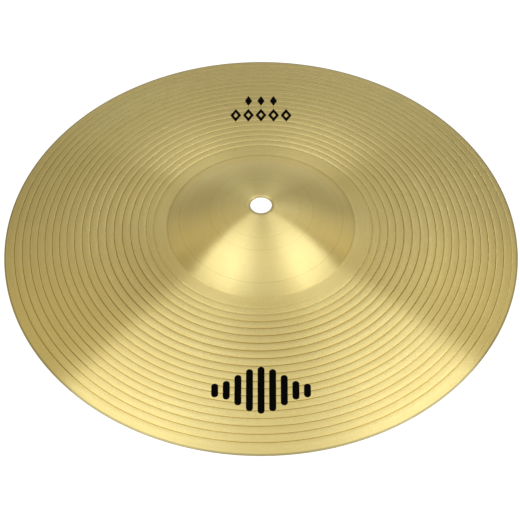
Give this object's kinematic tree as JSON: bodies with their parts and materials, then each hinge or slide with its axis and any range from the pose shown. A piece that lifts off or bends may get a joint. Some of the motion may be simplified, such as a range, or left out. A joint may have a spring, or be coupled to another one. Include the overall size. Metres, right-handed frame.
{
  "type": "crash cymbal",
  "caption": "Round dished crash cymbal of thin brass with a domed bell, a centre hole for a stand, a lathed groove spiral and black printed marks.",
  "frame": {"origin": "on the axis of the centre hole, level with the lowest line of the rim", "axes": "+Z along the hole's axis, up through the bell; -Y towards the wave print; +X to the right of a viewer who has the wave print nearest"},
  "size_m": [0.4064, 0.4064, 0.0465],
  "materials": {
    "brass": "lathed and brushed in circles, lacquered",
    "ink": "black screen-print ink"
  },
  "bodies": {
    "root": {"cymbal": "brass", "wave_print": "ink", "diamond_print": "ink", "lozenge_print": "ink"}
  },
  "joints": []
}
